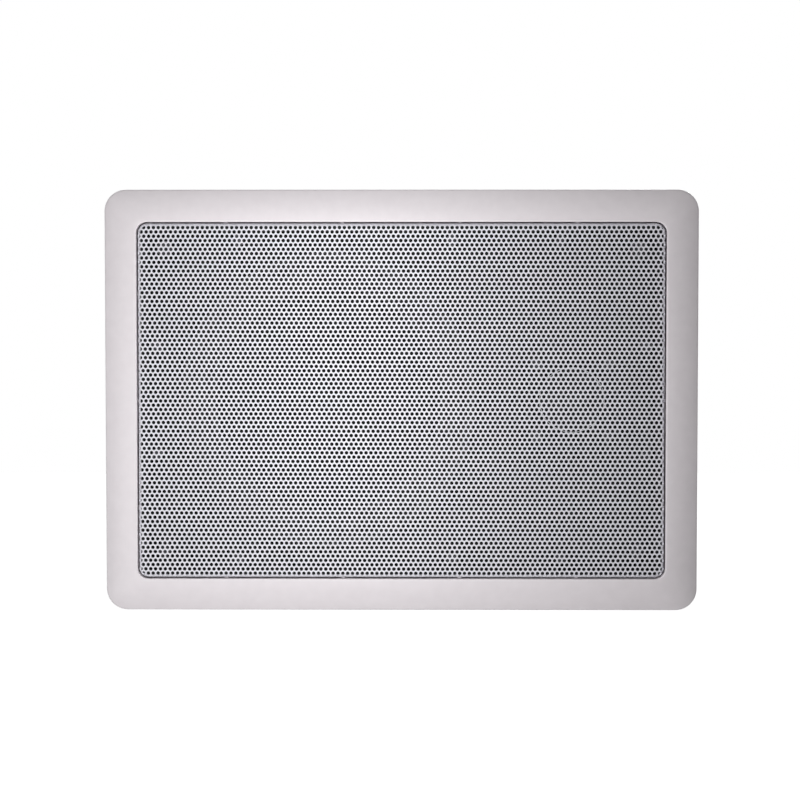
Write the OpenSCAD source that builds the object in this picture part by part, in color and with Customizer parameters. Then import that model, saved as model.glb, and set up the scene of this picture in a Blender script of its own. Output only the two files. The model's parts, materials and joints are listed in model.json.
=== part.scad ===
// Flush wall speaker for a public address line, hung the wide way.
// Every module is drawn lying on its back: x to the right, y up the wall and z
// out into the room, with z = 0 on the wall's surface. facing() stands it up.

/* [Frame] */
// Width of the frame across its outer edge
frame_w = 304; // [298:1:330]
// Height of the frame across its outer edge
frame_h = 216; // [210:1:240]
// Radius of the frame's outer corners
frame_r = 11; // [7:0.5:14]
// Width of the frame's rail, the same on all four sides
rail_w = 16.6; // [15.4:0.2:18]
// Radius of the corners of the opening that holds the grille
open_r = 5.5; // [4.5:0.5:8]
// How far the lip round the opening stands off the wall
lip_z = 7; // [6:0.25:9]
// How far the outer edge stands off the wall
edge_z = 2.6; // [2.4:0.1:3.5]
// Radius of the convex face between the edge and the lip
face_r = 45; // [35:1:80]
// Width of the narrow land along the lip
land_w = 1.2; // [0.8:0.1:2]
// Wall of the frame moulding
shell_t = 2.2; // [1.6:0.1:2.4]
// Thickness of the ribs behind the frame's face
rib_t = 1.4; // [1:0.1:2]
// Distance between the ribs behind the frame's face
rib_pitch = 38; // [25:1:60]
// Width of the ledge that carries the baffle
ledge_w = 14; // [12:0.5:16]
// Thickness of the ledge
ledge_t = 2.4; // [1.8:0.1:3]

/* [Grille] */
// Thickness of the grille sheet
grille_t = 0.8; // [0.6:0.1:1.2]
// Gap between the grille and the lip
grille_gap = 0.7; // [0.5:0.1:1]
// How far the grille's face lies below the lip
grille_sink = 0.6; // [0.2:0.1:1.2]
// Height of the grille's bent edge
grille_edge_h = 4.6; // [3:0.2:8]
// Outer radius of the grille's bend
bend_r = 1.6; // [1.2:0.1:2.4]
// Distance between holes along a row, three times that of the finished sheet
hole_pitch = 7.5; // [7:0.25:15]
// Diameter of a grille hole
hole_d = 5.4; // [3:0.1:6]

/* [Baffle] */
// Depth of the baffle's front face behind the wall's surface
baffle_z = 5; // [4:0.5:7]
// Thickness of the baffle
baffle_t = 3; // [2.4:0.2:4]
// Play between pieces that drop into each other
fit_gap = 0.4; // [0.3:0.05:0.6]
// Thickness of the wall that the grille rests on
stand_t = 2; // [1.4:0.1:2.4]
// Shank diameter of the baffle screws
screw_d = 3; // [2.5:0.1:3.5]
// Play of a screw in a plain hole, on the diameter
screw_play = 0.4; // [0.2:0.1:0.6]

/* [Woofer] */
// Sideways place of the woofer's axis
woofer_x = -38; // [-44:1:-34]
// Radius of the woofer's flange
woofer_r = 84; // [83:0.5:85]
// Radius of the basket's mouth
mouth_r = 71.5; // [70:0.5:72]
// Radius of the circle that the woofer's screws stand on
woofer_screw_r = 80; // [79.5:0.25:80.5]
// Depth of the basket from its flange to the magnet seat
basket_d = 42; // [40:0.5:50]
// Thickness of the basket's sheet
basket_t = 1.2; // [0.8:0.1:1.6]
// Thickness of the ring gasket under the flange
gasket_t = 2; // [1:0.25:3]
// Radius of the cone's rim
cone_r = 61.5; // [60:0.5:63]
// Thickness of the cone
cone_t = 0.8; // [0.6:0.1:1.2]
// Thickness of the rubber surround
surround_t = 0.6; // [0.4:0.1:0.8]
// Thickness of the cloth spider
spider_t = 0.5; // [0.4:0.1:0.7]
// Radius of the pole in the middle of the magnet
pole_r = 12.2; // [11:0.1:13]
// Free space on each side of the voice coil
coil_gap = 0.45; // [0.35:0.05:0.6]
// How far the cone travels each way
stroke = 4; // [2:0.5:4]
// Radius of the ring magnet
magnet_r = 40; // [38:1:48]
// Thickness of the ring magnet
magnet_t = 15; // [10:1:20]
// Thickness of each steel plate of the magnet
plate_t = 5; // [4:0.5:7]

/* [Tweeter] */
// Sideways place of the tweeter's axis
tweeter_x = 88; // [85:0.5:90]
// Radius of the tweeter's front plate
tweeter_r = 30; // [29:0.5:31]
// Radius of the dome
dome_r = 12.5; // [11.5:0.25:13]

/* [Clamps] */
// Distance of each clamp screw from the opening's two sides
clamp_in = 13.5; // [13:0.25:15]
// Diameter of a clamp screw
clamp_d = 4; // [3.5:0.5:5]
// Running play of the clamp screws and dogs, on the radius
clamp_play = 0.08; // [0.05:0.01:0.1]
// Width of a clamp dog's arm and hub
dog_w = 11; // [9:0.5:11.5]
// Reach of a clamp dog from its screw
dog_reach = 29; // [27:0.5:29.5]
// Height of a clamp dog's toe above its arm
toe_h = 6; // [4:0.5:6.5]
// Length of a clamp dog's hub
hub_h = 10; // [8:0.5:12]
// How far a clamp dog travels along its screw
travel = 28; // [15:1:34]

/* [Electrics] */
// Height of the board's feet
foot_h = 6; // [4:0.5:8]
// Thickness of the filter board
board_t = 1.6; // [1:0.2:2]
// Width of the transformer's core, which sets its legs and windows too
core_w = 41; // [35:1:44]
// Thickness of the transformer's stack of sheets
stack_t = 16; // [12:1:20]
// Number of ways in the terminal block
ways = 5; // [3:1:5]
// Radius of a covered wire
wire_r = 0.8; // [0.6:0.1:1]

/* [Hidden] */
$fn = 64;
eps = 0.01;
over = 1;

// Opening that holds the grille
open_w = frame_w - 2 * rail_w;
open_h = frame_h - 2 * rail_w;

// Heights in the stack, from the room into the wall
baffle_back = -(baffle_z + baffle_t);
ledge_back = baffle_back - ledge_t;
grille_face = lip_z - grille_sink;
grille_back = grille_face - grille_t;
flange_z = baffle_back - gasket_t;

// The wall that the grille rests on stands just inside the grille's bent edge
edge_play = bend_r - grille_t + 0.1;
stand_in = grille_gap + grille_t + edge_play;

// The voice coil fills the ring gap between the pole and the top plate
former_t = 0.3;
winding_t = 0.5;
former_in = pole_r + coil_gap;
former_out = former_in + former_t;
winding_out = former_out + winding_t;
gap_out = winding_out + coil_gap;

// Sloping wall and spider seat of the basket, measured from its flange
wall_top = 9;
seat_in = 33;
seat_out = 41;
seat_depth = basket_d - 9;
neck_in = 31.5;
mouth_step = 2;
lip_in = mouth_r - 0.4;
lip_out = woofer_screw_r - 4.2;
gasket_in = lip_out + fit_gap;
gasket_out = woofer_r - 0.6;
window_top = wall_top + 1.5;
window_low = seat_depth - 2.5;
windows = 6;
window_deg = 42;

// Cone and its neck
cone_flat = 3.5;
neck_len = 2;
cone_depth = basket_d - 15;
cone_curve = 0.25;
cap_r = 19;
cap_h = 7;
cap_t = 0.5;

// Clamps: boss, hub and toe are stacked behind the ledge
clamp_x = open_w / 2 - clamp_in;
clamp_y = open_h / 2 - clamp_in;
toe_clear = 0.6;
boss_h = toe_h + toe_clear - 0.2;
boss_r = dog_w / 2 - 0.6;
hub_front = ledge_back - boss_h - 0.2;
dog_z = hub_front - travel;
arm_t = 5;
toe_l = 12;
screw_end = dog_z - hub_h - 3;
head_r = 4;
head_h = 2.6;
stop_gap = 0.4;
stop_t = 2;
stop_len = ledge_back - dog_z + arm_t;

// Corner number, its side signs and its turn, clockwise from the top left
corners = [[-1, 1, 0], [1, 1, -90], [1, -1, 180], [-1, -1, 90]];

// Places that several pieces share, on the baffle
rim_in = (stand_in + stand_t + ledge_w) / 2;
baffle_spots = concat(
  [for (x = [-84, 26, 82], s = [-1, 1]) [x, s * (open_h / 2 - rim_in)]],
  [for (s = [-1, 1], t = [-1, 1]) [s * (open_w / 2 - rim_in), t * 28]]);
board_w = 68;
board_h = 36;
board_at = [73.5, -55];
board_spots = [for (s = [-1, 1], t = [-1, 1]) board_at + [s * (board_w / 2 - 4), t * (board_h / 2 - 4)]];
core_at = [72, 50];
bracket_hole = core_w / 2 + 6;
block_at = [55.6, 0];
way_pitch = 9;
block_w = 12;
block_l = ways * way_pitch + 2;

function unit(v) = v / norm(v);
function left(v) = [-v[1], v[0]];
function side(p, i) = left(unit(p[i + 1] - p[i]));
// Mitred normal at point i of an open path
function normal_at(p, i) =
  let (a = side(p, max(i - 1, 0)), b = side(p, min(i, len(p) - 2)))
  (a + b) / (1 + a * b);
// A sheet of thickness t on the left side of an open path
function sheet(p, t) =
  concat(p, [for (i = [len(p) - 1 : -1 : 0]) p[i] + t * normal_at(p, i)]);
// Centre of the circle of radius r through p and q, on the right of the way from p to q
function arc_centre(p, q, r) =
  (p + q) / 2 - left(unit(q - p)) * sqrt(r * r - pow(norm(q - p) / 2, 2));

module facing() rotate([90, 0, 0]) children();
module at_woofer() translate([woofer_x, 0, flange_z]) children();
module at_tweeter() translate([tweeter_x, 0, -baffle_z]) children();
module at_clamp(c) translate([c[0] * clamp_x, c[1] * clamp_y, 0]) rotate([0, 0, c[2]]) children();

// Rectangle with round corners, centred
module round_rect(w, h, r) {
  square([w - 2 * r, h], center = true);
  square([w, h - 2 * r], center = true);
  for (s = [-1, 1], t = [-1, 1])
    translate([s * (w / 2 - r), t * (h / 2 - r)]) circle(r);
}
module slab(w, h, r, z0, z1) translate([0, 0, z0]) linear_extrude(z1 - z0) round_rect(w, h, r);
module tube(r_in, r_out, z0, z1) translate([0, 0, z0]) linear_extrude(z1 - z0) difference() {
  circle(r_out);
  circle(r_in);
}

// A pan-head screw, head upward from z = 0 and shank downward
module pan_screw(d, head, length) {
  cylinder(h = head / 2, d1 = 2 * d, d2 = 1.7 * d);
  translate([0, 0, -length]) cylinder(h = length + eps, d = d);
}

// Cross-section of the frame's face, half of it, from the edge to the middle:
// flat edge, convex face and land. drop is measured square to the face.
module half_section(half, opening, drop) {
  a = [-half, edge_z];
  b = [-opening / 2 - land_w, lip_z];
  c = arc_centre(a, b, face_r);
  intersection() {
    translate([-half, -over]) square([b[0] + half, lip_z + over - drop]);
    translate(c) circle(face_r - drop, $fn = 200);
  }
  translate([b[0] - eps, -over]) square([-b[0] + eps, lip_z + over - drop]);
}
module full_section(half, opening, drop) {
  half_section(half, opening, drop);
  mirror([1, 0]) half_section(half, opening, drop);
}
// The frame's face as the part that two long profiles have in common
module face_solid(drop) intersection() {
  rotate([90, 0, 0]) linear_extrude(frame_h + 2, center = true) full_section(frame_w / 2, open_w, drop);
  rotate([90, 0, 90]) linear_extrude(frame_w + 2, center = true) full_section(frame_h / 2, open_h, drop);
}

// Ribs that grip the grille end well below its face
grip_r = 1.5;
grip_h = grille_face + baffle_z - grille_edge_h + 0.8;

module frame_ribs() {
  for (x = [-floor(frame_w / 2 / rib_pitch) : floor(frame_w / 2 / rib_pitch)])
    translate([x * rib_pitch - rib_t / 2, -frame_h / 2, 0]) cube([rib_t, frame_h, lip_z]);
  for (y = [-floor(frame_h / 2 / rib_pitch) : floor(frame_h / 2 / rib_pitch)])
    translate([-frame_w / 2, y * rib_pitch - rib_t / 2, 0]) cube([frame_w, rib_t, lip_z]);
}

module bezel_frame() color([0.86, 0.84, 0.85]) facing() difference() {
  union() {
    // Face, hollow from behind and stiffened by ribs
    difference() {
      intersection() {
        slab(frame_w, frame_h, frame_r, 0, lip_z);
        face_solid(0);
      }
      difference() {
        intersection() {
          slab(frame_w - 2 * shell_t, frame_h - 2 * shell_t, frame_r - shell_t, -over, lip_z);
          face_solid(shell_t);
        }
        frame_ribs();
      }
      slab(open_w, open_h, open_r, -over, lip_z + over);
    }
    // Collar round the opening, from the lip to the back of the ledge
    difference() {
      slab(open_w + 2 * shell_t, open_h + 2 * shell_t, open_r + shell_t, ledge_back, lip_z - eps);
      slab(open_w, open_h, open_r, ledge_back - over, lip_z + over);
    }
    // Ledge with corner webs, the clamps' bosses and their stop walls
    translate([0, 0, ledge_back]) linear_extrude(ledge_t) difference() {
      union() {
        difference() {
          round_rect(open_w + 0.2, open_h + 0.2, open_r);
          round_rect(open_w - 2 * ledge_w, open_h - 2 * ledge_w, open_r);
        }
        for (c = corners) translate([c[0] * clamp_x, c[1] * clamp_y]) rotate(c[2])
          translate([-clamp_in, -20]) square([clamp_in + 9.5, 20 + clamp_in]);
      }
      translate([woofer_x, 0]) circle(woofer_r + 1, $fn = 128);
    }
    for (c = corners) at_clamp(c) {
      translate([0, 0, ledge_back - boss_h]) cylinder(h = boss_h + eps, r = boss_r);
      translate([0, 0, ledge_back - stop_len]) {
        translate([-clamp_in, dog_w / 2 + stop_gap, 0])
          cube([clamp_in + dog_w / 2 + stop_gap, stop_t, stop_len + eps]);
        translate([dog_w / 2 + stop_gap, -17, 0])
          cube([stop_t, 17 + dog_w / 2 + stop_gap + stop_t, stop_len + eps]);
      }
    }
    // Bosses for the baffle's screws
    for (p = baffle_spots) translate([p[0], p[1], ledge_back - 7])
      cylinder(h = 7 + eps, r = screw_d / 2 + 1.9);
    // Small round ribs low in the groove that grip the grille's bent edge
    for (x = [-90, -30, 30, 90], s = [-1, 1])
      translate([x, s * (open_h / 2 - grille_gap + grip_r), -baffle_z]) cylinder(h = grip_h, r = grip_r);
    for (y = [-55, 0, 55], s = [-1, 1])
      translate([s * (open_w / 2 - grille_gap + grip_r), y, -baffle_z]) cylinder(h = grip_h, r = grip_r);
  }
  for (c = corners) at_clamp(c)
    translate([0, 0, ledge_back - boss_h - over])
      cylinder(h = boss_h + ledge_t + 2 * over, r = clamp_d / 2 + clamp_play);
  for (p = baffle_spots) translate([p[0], p[1], ledge_back - 6]) cylinder(h = 12, d = screw_d);
}

// Staggered rows of round holes, row_step apart, kept clear of the bent edge
row_step = hole_pitch * sqrt(3) / 2;
module hole_field(w, h) {
  rows = floor(h / 2 / row_step);
  cols = floor(w / 2 / hole_pitch);
  for (j = [-rows : rows], i = [-cols : cols - abs(j % 2)])
    translate([(i + abs(j % 2) / 2) * hole_pitch, j * row_step]) circle(d = hole_d, $fn = 16);
}
// Cross-section of the grille's bend and wall, from the start of the bend outwards
module bend_section() {
  translate([0, grille_edge_h - bend_r]) intersection() {
    difference() {
      circle(bend_r);
      circle(bend_r - grille_t);
    }
    square(bend_r);
  }
  translate([bend_r - grille_t, 0]) square([grille_t, grille_edge_h - bend_r]);
}
module grille() color([0.95, 0.95, 0.96]) facing() {
  flat_w = open_w - 2 * grille_gap - 2 * bend_r;
  flat_h = open_h - 2 * grille_gap - 2 * bend_r;
  turn_r = open_r - grille_gap - bend_r;
  land = hole_d + 1.6;
  translate([0, 0, grille_back]) linear_extrude(grille_t) difference() {
    round_rect(flat_w, flat_h, turn_r);
    hole_field(flat_w - land, flat_h - land);
  }
  translate([0, 0, grille_face - grille_edge_h]) {
    for (s = [-1, 1]) {
      translate([s * flat_w / 2, 0, 0]) rotate([90, 0, 90 - 90 * s]) mirror([0, 0, s > 0 ? 0 : 1])
        linear_extrude(flat_h - 2 * turn_r, center = true) bend_section();
      translate([0, s * flat_h / 2, 0]) rotate([90, 0, 90 * s])
        linear_extrude(flat_w - 2 * turn_r, center = true) bend_section();
    }
    for (c = corners) translate([c[0] * (flat_w / 2 - turn_r), c[1] * (flat_h / 2 - turn_r), 0])
      rotate([0, 0, c[2] + 90]) rotate_extrude(angle = 90) translate([turn_r, 0]) bend_section();
  }
}

module baffle() color([0.07, 0.07, 0.075]) facing() difference() {
  union() {
    slab(open_w - 2 * fit_gap, open_h - 2 * fit_gap, open_r - fit_gap, baffle_back, -baffle_z);
    // Upright wall that carries the grille
    difference() {
      slab(open_w - 2 * stand_in, open_h - 2 * stand_in, open_r - stand_in, -baffle_z - eps, grille_back);
      slab(open_w - 2 * (stand_in + stand_t), open_h - 2 * (stand_in + stand_t),
        open_r - stand_in - stand_t / 2, -baffle_z, grille_back + over);
    }
    // Closed towers for the woofer's and the transformer's screws
    for (a = [45 : 90 : 315]) translate([woofer_x, 0, -baffle_z - eps]) rotate([0, 0, a])
      translate([woofer_screw_r, 0, 0]) cylinder(h = 4, r = 4);
    for (s = [-1, 1]) translate([core_at[0] + s * bracket_hole, core_at[1], -baffle_z - eps])
      cylinder(h = 4, r = 3.5);
    // Raised seats for the clamp screws' heads and the baffle's screws
    for (c = corners) at_clamp(c) translate([0, 0, -baffle_z - eps]) cylinder(h = 1.2, r = 6.5);
    // Feet for the filter board
    for (p = board_spots) translate([p[0], p[1], baffle_back - foot_h]) cylinder(h = foot_h + eps, r = 3);
    // Ring that stiffens the woofer's opening in front
    translate([woofer_x, 0, 0]) tube(mouth_r + 4.4, mouth_r + 4.4 + 1.6, -baffle_z - eps, -baffle_z + 2.4);
  }
  translate([woofer_x, 0, baffle_back - over]) cylinder(h = baffle_t + 5, r = mouth_r + 4.4, $fn = 128);
  translate([tweeter_x, 0, baffle_back - over])
    cylinder(h = baffle_t + 2 * over, r = motor_r + fit_gap, $fn = 96);
  for (a = [45 : 90 : 315]) translate([woofer_x, 0, baffle_back - over]) rotate([0, 0, a])
    translate([woofer_screw_r, 0, 0]) cylinder(h = baffle_t + over + 3, d = screw_d);
  for (s = [-1, 1]) translate([core_at[0] + s * bracket_hole, core_at[1], baffle_back - over])
    cylinder(h = baffle_t + over + 2.6, d = screw_d);
  for (c = corners) at_clamp(c) translate([0, 0, baffle_back - over])
    cylinder(h = baffle_t + 2 + over, r = clamp_d / 2 + clamp_play);
  for (p = baffle_spots) translate([p[0], p[1], baffle_back - over])
    cylinder(h = baffle_t + 2 * over, d = screw_d + screw_play);
  for (p = board_spots) translate([p[0], p[1], baffle_back - foot_h - over])
    cylinder(h = foot_h + over, d = screw_d);
  for (a = [45 : 90 : 315]) at_tweeter() rotate([0, 0, a])
    translate([tweeter_r - tweeter_screw_in, 0, -baffle_t - over])
    cylinder(h = baffle_t + 2 * over, d = screw_d);
  for (s = [-1, 1]) translate([block_at[0], block_at[1] + s * block_screw, baffle_back - over])
    cylinder(h = 2.4 + over, d = screw_d);
  // Notch that lets the tweeter's wires through
  translate([tweeter_x - 3.4, notch_y - 1.6, baffle_back - over]) cube([6.8, 3.4, baffle_t + 2 * over]);
}
module baffle_screws() color([0.2, 0.2, 0.21]) facing()
  for (p = baffle_spots) translate([p[0], p[1], -baffle_z]) pan_screw(screw_d, screw_d, 9.5);

// Inner face of the basket, from the flange to the magnet seat
basket_path = [
  [woofer_r, 0], [mouth_r, 0], [mouth_r - mouth_step, -wall_top], [seat_out, -seat_depth],
  [seat_in, -seat_depth], [neck_in, -basket_d], [gap_out + 0.6, -basket_d]];
module basket_body() rotate_extrude($fn = 128) polygon(sheet(basket_path, basket_t));
module woofer_basket() color([0.16, 0.16, 0.17]) facing() at_woofer() difference() {
  basket_body();
  for (k = [0 : windows - 1]) rotate([0, 0, (k + 0.5) * 360 / windows - window_deg / 2])
    rotate_extrude(angle = window_deg, $fn = 128)
      translate([seat_out + 3, -window_low]) square([mouth_r - seat_out, window_low - window_top]);
  for (a = [45 : 90 : 315]) rotate([0, 0, a]) translate([woofer_screw_r, 0, -2 * basket_t])
    cylinder(h = 3 * basket_t, d = screw_d + screw_play);
}
module woofer_gasket() color([0.12, 0.12, 0.12]) facing() at_woofer() difference() {
  tube(gasket_in, gasket_out, 0, gasket_t);
  for (a = [45 : 90 : 315]) rotate([0, 0, a]) translate([woofer_screw_r, 0, -over])
    cylinder(h = gasket_t + 2 * over, d = screw_d + screw_play);
}
// Half roll with a flat lip on each side, one on the cone and one on the basket
module woofer_surround() color([0.05, 0.05, 0.05]) facing() at_woofer() rotate_extrude($fn = 128) {
  mid = (cone_r + lip_in) / 2;
  out = (lip_in - cone_r) / 2 + surround_t / 2;
  intersection() {
    translate([mid, 0]) difference() {
      circle(out, $fn = 96);
      circle(out - surround_t, $fn = 96);
    }
    translate([mid - out, 0]) square([2 * out, out]);
  }
  flat_in = cone_r - cone_flat + 0.3;
  translate([flat_in, 0]) square([mid - out + surround_t - flat_in, surround_t]);
  translate([mid + out - surround_t, 0]) square([lip_out - mid - out + surround_t, surround_t]);
}
// Front face of the cone: it steepens towards the neck
function cone_front(r) =
  let (t = (cone_r - cone_flat - r) / (cone_r - cone_flat - former_out))
  -cone_depth * (t + cone_curve * t * (t - 1));
cone_steps = 8;
cone_path = concat(
  [[cone_r, 0]],
  [for (i = [0 : cone_steps])
    let (r = cone_r - cone_flat - (cone_r - cone_flat - former_out) * i / cone_steps) [r, cone_front(r)]],
  [[former_out, -cone_depth - neck_len]]);
module woofer_cone() color([0.07, 0.07, 0.08]) facing() at_woofer()
  rotate_extrude($fn = 128) polygon(sheet(cone_path, cone_t));
module woofer_dust_cap() color([0.05, 0.05, 0.055]) facing() at_woofer() difference() {
  ball = (cap_r * cap_r + cap_h * cap_h) / (2 * cap_h);
  translate([0, 0, cone_front(cap_r) + cap_h - ball]) difference() {
    intersection() {
      sphere(ball, $fn = 96);
      translate([0, 0, ball - cap_h - 1]) cylinder(h = cap_h + 2, r = cap_r + 4);
    }
    sphere(ball - cap_t, $fn = 96);
  }
  // Everything behind the cone's face is cut away, so that the cap seats on it
  rotate_extrude($fn = 128) polygon(concat([for (i = [1 : cone_steps + 1]) cone_path[i]],
    [[0, -cone_depth], [0, -cone_depth - 5], [cone_r, -cone_depth - 5]]));
}
// Corrugated disc: a sine wave from the seat on the basket to the coil's former
spider_waves = 4;
spider_amp = 1.2;
spider_in = former_out + 3;
spider_path = concat(
  [[seat_out - 1.2, spider_t - seat_depth]],
  [for (i = [0 : 8 * spider_waves])
    [seat_in - (seat_in - spider_in) * i / (8 * spider_waves),
     spider_t - seat_depth + spider_amp * sin(i * 45)]],
  [[former_out, spider_t - seat_depth]]);
module woofer_spider() color([0.75, 0.62, 0.3]) facing() at_woofer()
  rotate_extrude($fn = 96) polygon(sheet(spider_path, spider_t));

plate_mid = -basket_d - basket_t - plate_t / 2;
winding_l = plate_t + 2 * stroke - 1;
former_top = -cone_depth + 1;
former_low = plate_mid - winding_l / 2 - 1;
module voice_coil_former() color([0.7, 0.6, 0.4]) facing() at_woofer()
  tube(former_in, former_out, former_low, former_top);
module voice_coil_winding() color([0.72, 0.38, 0.2]) facing() at_woofer()
  tube(former_out, winding_out, plate_mid - winding_l / 2, plate_mid + winding_l / 2);
magnet_top = -basket_d - basket_t - plate_t;
module woofer_top_plate() color([0.6, 0.6, 0.62]) facing() at_woofer()
  tube(gap_out, magnet_r - 4, magnet_top, magnet_top + plate_t);
module woofer_magnet() color([0.13, 0.13, 0.14]) facing() at_woofer() rotate_extrude($fn = 96) {
  low = magnet_top - magnet_t;
  polygon([
    [gap_out + 2.5, low], [magnet_r - 1, low], [magnet_r, low + 1],
    [magnet_r, magnet_top - 1], [magnet_r - 1, magnet_top], [gap_out + 2.5, magnet_top]]);
}
vent_r = 4.5;
pole_low = magnet_top - magnet_t - plate_t;
module woofer_pole_plate() color([0.62, 0.62, 0.64]) facing() at_woofer() rotate_extrude($fn = 96) polygon([
  [vent_r, -basket_d + 0.6], [pole_r - 0.6, -basket_d + 0.6], [pole_r, -basket_d],
  [pole_r, magnet_top - magnet_t], [magnet_r - 3, magnet_top - magnet_t],
  [magnet_r - 3, pole_low + 1.2], [magnet_r - 4.2, pole_low],
  [vent_r + 1.5, pole_low], [vent_r, pole_low + 1.5]]);

// Small board on the leg of the basket that points to the tweeter
tag_r = 57;
wall_slope = atan2(seat_depth - wall_top, mouth_r - mouth_step - seat_out);
tag_z = -wall_top - (mouth_r - mouth_step - tag_r) * tan(wall_slope);
module at_tags() translate([tag_r, 0, tag_z]) rotate([0, 180 - wall_slope, 0])
  translate([0, 0, basket_t - 0.9]) children();
module woofer_tag_board() color([0.45, 0.28, 0.12]) facing() at_woofer() difference() {
  at_tags() translate([-6, -10, 0]) cube([12, 20, 2.7]);
  basket_body();
}
module woofer_tags() color([0.8, 0.75, 0.6]) facing() at_woofer() at_tags()
  for (s = [-1, 1]) translate([-4, s * 5 - 2.4, 2.7]) {
    cube([8, 4.8, 0.8]);
    translate([0, 0, 0.4]) cube([0.8, 4.8, 7]);
  }
module woofer_screws() color([0.2, 0.2, 0.21]) facing() at_woofer()
  for (a = [45 : 90 : 315]) rotate([0, 0, a]) translate([woofer_screw_r, 0, -basket_t])
    mirror([0, 0, 1]) pan_screw(screw_d, screw_d, 7.5);

// Tweeter, drawn from its seat on the baffle's front
motor_r = dome_r + 8.5;
tweeter_front = 3;
tweeter_screw_in = 4;
module tweeter_faceplate() color([0.08, 0.08, 0.085]) facing() at_tweeter() difference() {
  rotate_extrude($fn = 96) polygon([
    [dome_r + 4.4, -1], [motor_r, -1], [motor_r, 0], [tweeter_r, 0],
    [tweeter_r, tweeter_front - 1], [tweeter_r - 1, tweeter_front],
    [dome_r + 9, tweeter_front], [dome_r + 4.4, 0.6]]);
  for (a = [45 : 90 : 315]) rotate([0, 0, a]) translate([tweeter_r - tweeter_screw_in, 0, -over])
    cylinder(h = tweeter_front + 2 * over, d = screw_d + screw_play);
}
// Cloth dome and its own narrow roll, formed in one piece
dome_t = 0.35;
dome_h = 4;
module tweeter_dome() color([0.1, 0.1, 0.1]) facing() at_tweeter() translate([0, 0, -1]) {
  ball = (dome_r * dome_r + dome_h * dome_h) / (2 * dome_h);
  rotate_extrude($fn = 96) {
    intersection() {
      translate([0, dome_h - ball]) difference() {
        circle(ball, $fn = 96);
        circle(ball - dome_t, $fn = 96);
      }
      square([dome_r, dome_h + 1]);
    }
    translate([dome_r + 1.2, 0]) intersection() {
      difference() {
        circle(1.55, $fn = 48);
        circle(1.55 - dome_t, $fn = 48);
      }
      translate([-2, 0]) square([4, 2]);
    }
    translate([dome_r + 2.4, 0]) square([1.6, dome_t]);
  }
}
coil_t = 0.5;
tweeter_gap = 0.4;
tweeter_plate_t = 3;
tweeter_magnet_t = 8;
tweeter_top = -1;
tweeter_plate_low = tweeter_top - tweeter_plate_t;
tweeter_magnet_low = tweeter_plate_low - tweeter_magnet_t;
tweeter_pole_low = tweeter_magnet_low - 4;
module tweeter_coil() color([0.72, 0.38, 0.2]) facing() at_tweeter()
  tube(dome_r - coil_t - 0.1, dome_r - 0.1, tweeter_plate_low, tweeter_top);
module tweeter_top_plate() color([0.6, 0.6, 0.62]) facing() at_tweeter()
  tube(dome_r + tweeter_gap - 0.1, motor_r - 0.5, tweeter_plate_low, tweeter_top);
module tweeter_magnet() color([0.13, 0.13, 0.14]) facing() at_tweeter()
  tube(dome_r + 2, motor_r, tweeter_magnet_low, tweeter_plate_low);
module tweeter_pole_plate() color([0.6, 0.6, 0.62]) facing() at_tweeter() {
  translate([0, 0, tweeter_pole_low]) cylinder(h = 4, r = motor_r - 1.5);
  translate([0, 0, tweeter_pole_low + 1])
    cylinder(h = tweeter_top - tweeter_pole_low - 1, r = dome_r - coil_t - tweeter_gap - 0.1);
}
module tweeter_screws() color([0.15, 0.15, 0.16]) facing() at_tweeter()
  for (a = [45 : 90 : 315]) rotate([0, 0, a]) translate([tweeter_r - tweeter_screw_in, 0, tweeter_front])
    pan_screw(screw_d, screw_d * 0.8, 5.4);

// Filter board with its parts on the side away from the baffle
board_z = baffle_back - foot_h - board_t;
module crossover_board() color([0.1, 0.35, 0.18]) facing() difference() {
  translate([board_at[0] - board_w / 2, board_at[1] - board_h / 2, board_z])
    cube([board_w, board_h, board_t]);
  for (p = board_spots) translate([p[0], p[1], board_z - over])
    cylinder(h = board_t + 2 * over, d = screw_d + screw_play);
}
module on_board(x, y) translate([board_at[0] + x, board_at[1] + y, board_z]) mirror([0, 0, 1]) children();
// Film capacitor on two bent leads
can_r = 6.5;
can_l = 25;
lead_r = 0.5;
lead_out = 2.6;
module crossover_capacitor() color([0.75, 0.6, 0.1]) facing() on_board(-14, 8) {
  translate([-can_l / 2, 0, can_r]) rotate([0, 90, 0]) cylinder(h = can_l, r = can_r);
  for (s = [-1, 1]) {
    translate([s * (can_l / 2 + lead_out - lead_r), 0, 0]) cylinder(h = can_r, r = lead_r);
    translate([s * (can_l + lead_out) / 2 - lead_out / 2, 0, can_r])
      rotate([0, 90, 0]) cylinder(h = lead_out, r = lead_r);
  }
}
// Coil on a thin bobbin with two cheeks
bobbin_in = 5;
bobbin_out = 13;
bobbin_h = 13;
cheek_t = 1;
module crossover_coil() color([0.72, 0.38, 0.2]) facing() on_board(18, 0) rotate_extrude($fn = 64) polygon([
  [bobbin_in, 0], [bobbin_out, 0], [bobbin_out, cheek_t], [bobbin_out - 0.5, cheek_t],
  [bobbin_out - 0.5, bobbin_h - cheek_t], [bobbin_out, bobbin_h - cheek_t],
  [bobbin_out, bobbin_h], [bobbin_in, bobbin_h]]);
resistor_l = 24;
resistor_w = 9;
module crossover_resistor() color([0.88, 0.87, 0.82]) facing() on_board(-14, -9)
  translate([-resistor_l / 2, -resistor_w / 2, 0]) cube([resistor_l, resistor_w, resistor_w]);
module crossover_screws() color([0.6, 0.6, 0.62]) facing()
  for (p = board_spots) translate([p[0], p[1], board_z])
    mirror([0, 0, 1]) pan_screw(screw_d, screw_d * 0.8, board_t + 0.8 * foot_h);

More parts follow.
